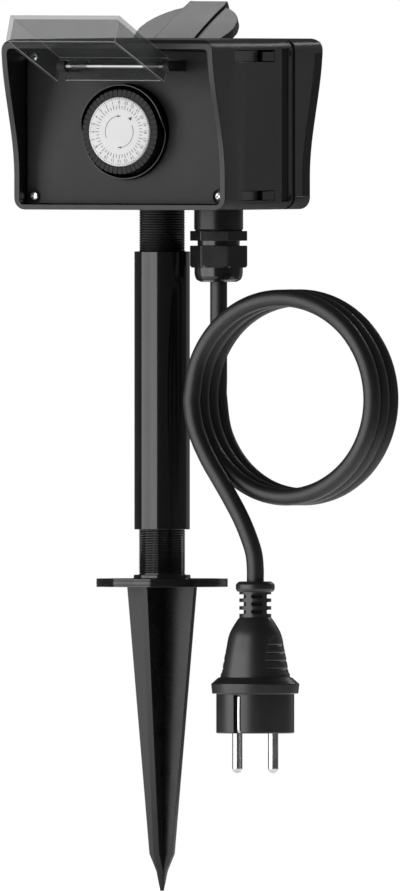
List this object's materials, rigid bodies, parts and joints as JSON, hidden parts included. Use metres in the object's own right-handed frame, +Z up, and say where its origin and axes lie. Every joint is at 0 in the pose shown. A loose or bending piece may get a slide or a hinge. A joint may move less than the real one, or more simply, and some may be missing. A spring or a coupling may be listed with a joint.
{
  "type": "garden socket",
  "caption": "Outdoor power socket on a ground spike: hooded head with a covered timer, flap-covered outlets at the back, a stem, and a coiled cord with plug.",
  "frame": {"origin": "on the stem's axis at the underside of the spike's flange, where the ground's surface is", "axes": "+Z up along the stem, -Y towards the timer's side, +X towards the cord"},
  "size_m": [0.1834, 0.1988, 0.4164],
  "materials": {
    "satin_black": "satin moulded polypropylene",
    "panel_grey": "fine matt texture",
    "gland_black": "satin nylon",
    "rubber": "matt",
    "zinc_steel": "bright zinc",
    "nickel": "nickel plate",
    "brass": "plain",
    "clear_plastic": "clear moulded plastic",
    "dial_white": "printed white",
    "dial_grey": "matt",
    "acetal": "natural",
    "switch_red": "matt",
    "brown_wire": "insulation",
    "blue_wire": "insulation",
    "green_wire": "insulation"
  },
  "bodies": {
    "spike": {"ground_spike": "satin_black"},
    "tube": {"extension_tube": "satin_black"},
    "head": {"front_shell": "satin_black", "rear_shell": "satin_black", "parting_seal": "rubber", "timer_panel": "panel_grey", "socket_panel": "panel_grey", "timer_panel_screws": "zinc_steel", "socket_panel_screws": "zinc_steel", "timer_housing": "satin_black", "gear_plate": "zinc_steel", "timer_motor": "zinc_steel", "micro_switch": "switch_red", "lid_hinge_rod": "zinc_steel", "socket_insert_left": "satin_black", "socket_insert_right": "satin_black", "contact_sleeves": "brass", "earth_clips": "brass", "live_busbar": "brass", "neutral_busbar": "brass", "earth_bar": "brass", "flap_hinge_pins": "zinc_steel", "terminal_block": "acetal", "terminal_screws": "zinc_steel", "live_wires": "brown_wire", "neutral_wires": "blue_wire", "earth_wires": "green_wire", "gland_body": "gland_black", "gland_oring": "rubber", "gland_seal": "rubber", "gland_clamp": "gland_black", "gland_nut": "gland_black", "gland_locknut": "gland_black", "cord_tail": "rubber", "cord_drop": "rubber", "cord_coil": "rubber", "cord_lead": "rubber", "plug_boot": "rubber", "plug_body": "rubber", "plug_pins": "nickel", "plug_earth_clips": "nickel"},
    "dial": {"dial_ring": "dial_grey", "dial_face": "dial_white", "dial_gear": "acetal"},
    "idler": {"idler_gear": "acetal"},
    "pinion": {"motor_pinion": "brass"},
    "plunger": {"switch_plunger": "acetal"},
    "timer_lid": {"timer_lid": "clear_plastic"},
    "left_flap": {"flap_left": "satin_black", "flap_seal_left": "rubber"},
    "right_flap": {"flap_right": "satin_black", "flap_seal_right": "rubber"}
  },
  "joints": [
    {"name": "tube_screws_onto_spike", "type": "slide", "parent": "spike", "child": "tube", "axis": [0, 0, -1], "range_m": [0, 0.0209]},
    {"name": "head_screws_into_tube", "type": "slide", "parent": "tube", "child": "head", "axis": [0, 0, -1], "range_m": [0, 0.0194]},
    {"name": "dial_turn", "type": "hinge", "parent": "head", "child": "dial", "pos_m": [0, -0.036, 0.2135], "axis": [0, 1, 0], "continuous": true},
    {"name": "idler_turn", "type": "hinge", "parent": "head", "child": "idler", "pos_m": [0.0112, -0.027, 0.2135], "axis": [0, 1, 0], "continuous": true},
    {"name": "motor_pinion_turn", "type": "hinge", "parent": "head", "child": "pinion", "pos_m": [0.00554, -0.025, 0.20784], "axis": [0, 1, 0], "continuous": true},
    {"name": "switch_plunger_travel", "type": "slide", "parent": "head", "child": "plunger", "axis": [0, 1, 0], "range_m": [0, 0.0008], "stiffness_N_per_m": 20},
    {"name": "timer_lid_hinge", "type": "hinge", "parent": "head", "child": "timer_lid", "pos_m": [-0.0012, -0.05, 0.2444], "axis": [1, 0, 0], "range_deg": [0, 111]},
    {"name": "left_flap_hinge", "type": "hinge", "parent": "head", "child": "left_flap", "pos_m": [-0.0265, 0.05, 0.2444], "axis": [-1, 0, 0], "range_deg": [0, 117]},
    {"name": "right_flap_hinge", "type": "hinge", "parent": "head", "child": "right_flap", "pos_m": [0.0265, 0.05, 0.2444], "axis": [1, 0, 0], "range_deg": [0, 117]}
  ],
  "couplings": [
    {"joint": "idler_turn", "follows": "dial_turn", "ratio": -6},
    {"joint": "motor_pinion_turn", "follows": "dial_turn", "ratio": 24}
  ]
}
